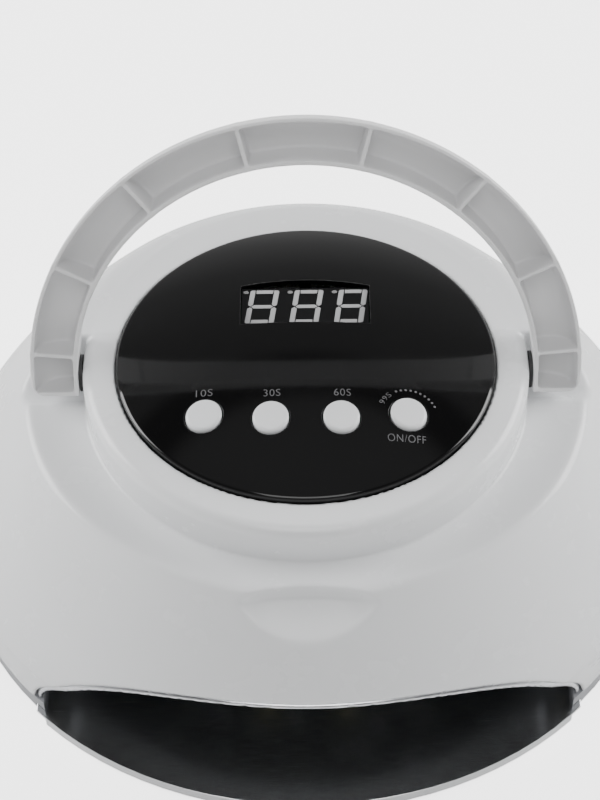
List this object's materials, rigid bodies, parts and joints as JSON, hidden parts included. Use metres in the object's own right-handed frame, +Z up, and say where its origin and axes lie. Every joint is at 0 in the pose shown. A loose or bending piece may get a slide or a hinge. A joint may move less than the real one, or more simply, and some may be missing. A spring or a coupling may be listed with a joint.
{
  "type": "uv led nail lamp",
  "caption": "Dome-shaped tabletop lamp that cures gel nails, with a fold-down carry handle, a black control panel with display and push buttons, and a slide-out steel tray.",
  "frame": {"origin": "on the table plane, under the middle of the body and of the handle's hinge line", "axes": "+X to the right seen from the user's side, +Y to the back, away from the hand opening, +Z up"},
  "size_m": [0.26, 0.239, 0.1846],
  "materials": {
    "shell_white": "satin moulded ABS with a fine soft sheen",
    "handle_white": "satin moulded ABS",
    "panel_black": "polished black plastic dome",
    "display_black": "dark display face",
    "segment_grey": "unlit display segments and dots",
    "button_white": "satin push button caps",
    "inner_black": "moulded black inner parts",
    "liner_silver": "metallised reflective liner",
    "board_green": "circuit board with green solder mask",
    "board_white": "white LED carrier board",
    "led_lens": "clear LED beads over yellow phosphor",
    "sensor_dark": "dark infrared hand sensors",
    "steel": "plated steel screws",
    "tray_steel": "bright folded sheet steel",
    "brass": "turned brass stand-offs",
    "heat_sink": "extruded aluminium, plain",
    "capacitor_sleeve": "shrink-sleeved can capacitors",
    "ribbon_grey": "flat ribbon lead",
    "lead_black": "black two-core lead",
    "lead_red": "red two-core lead",
    "frame_grey": "grey moulded base",
    "magnet": "nickel plated magnets",
    "foot_rubber": "black rubber feet"
  },
  "bodies": {
    "housing": {"top_shell": "shell_white", "display_panel": "panel_black", "display_module": "display_black", "display_segments": "segment_grey", "display_holder": "inner_black", "hinge_washers": "inner_black", "control_board": "board_green", "tact_switches": "inner_black", "panel_screws": "steel", "inner_liner": "liner_silver", "led_board_top": "board_white", "led_board_left": "board_white", "led_board_right": "board_white", "led_board_rear": "board_white", "led_emitters_top": "led_lens", "led_emitters_left": "led_lens", "led_emitters_right": "led_lens", "led_emitters_rear": "led_lens", "hand_sensors": "sensor_dark", "board_screws": "steel", "board_standoffs": "brass", "power_board": "board_green", "power_screws": "steel", "inductor": "inner_black", "capacitors": "capacitor_sleeve", "heat_sink": "heat_sink", "control_ribbon": "ribbon_grey", "jack_lead": "lead_black", "led_lead_left": "lead_red", "led_lead_right": "lead_red", "dc_jack": "inner_black", "base_frame": "frame_grey", "tray_magnets": "magnet", "rubber_feet": "foot_rubber", "shell_screws": "steel", "liner_screws": "steel"},
    "handle": {"carry_handle": "handle_white", "handle_screws": "steel"},
    "tray": {"base_tray": "tray_steel"},
    "button_10s_cap": {"button_10s": "button_white"},
    "button_30s_cap": {"button_30s": "button_white"},
    "button_60s_cap": {"button_60s": "button_white"},
    "button_power_cap": {"button_power": "button_white"}
  },
  "joints": [
    {"name": "handle_hinge", "type": "hinge", "parent": "housing", "child": "handle", "pos_m": [0, 0, 0.092], "axis": [1, 0, 0], "range_deg": [0, 109]},
    {"name": "tray_slide", "type": "slide", "parent": "housing", "child": "tray", "axis": [0, -1, 0], "range_m": [0, 0.205]},
    {"name": "button_10s_press", "type": "slide", "parent": "housing", "child": "button_10s_cap", "axis": [0, 0, -1], "range_m": [0, 0.0008], "stiffness_N_per_m": 1500},
    {"name": "button_30s_press", "type": "slide", "parent": "housing", "child": "button_30s_cap", "axis": [0, 0, -1], "range_m": [0, 0.0008], "stiffness_N_per_m": 1500},
    {"name": "button_60s_press", "type": "slide", "parent": "housing", "child": "button_60s_cap", "axis": [0, 0, -1], "range_m": [0, 0.0008], "stiffness_N_per_m": 1500},
    {"name": "button_power_press", "type": "slide", "parent": "housing", "child": "button_power_cap", "axis": [0, 0, -1], "range_m": [0, 0.0008], "stiffness_N_per_m": 1500}
  ]
}
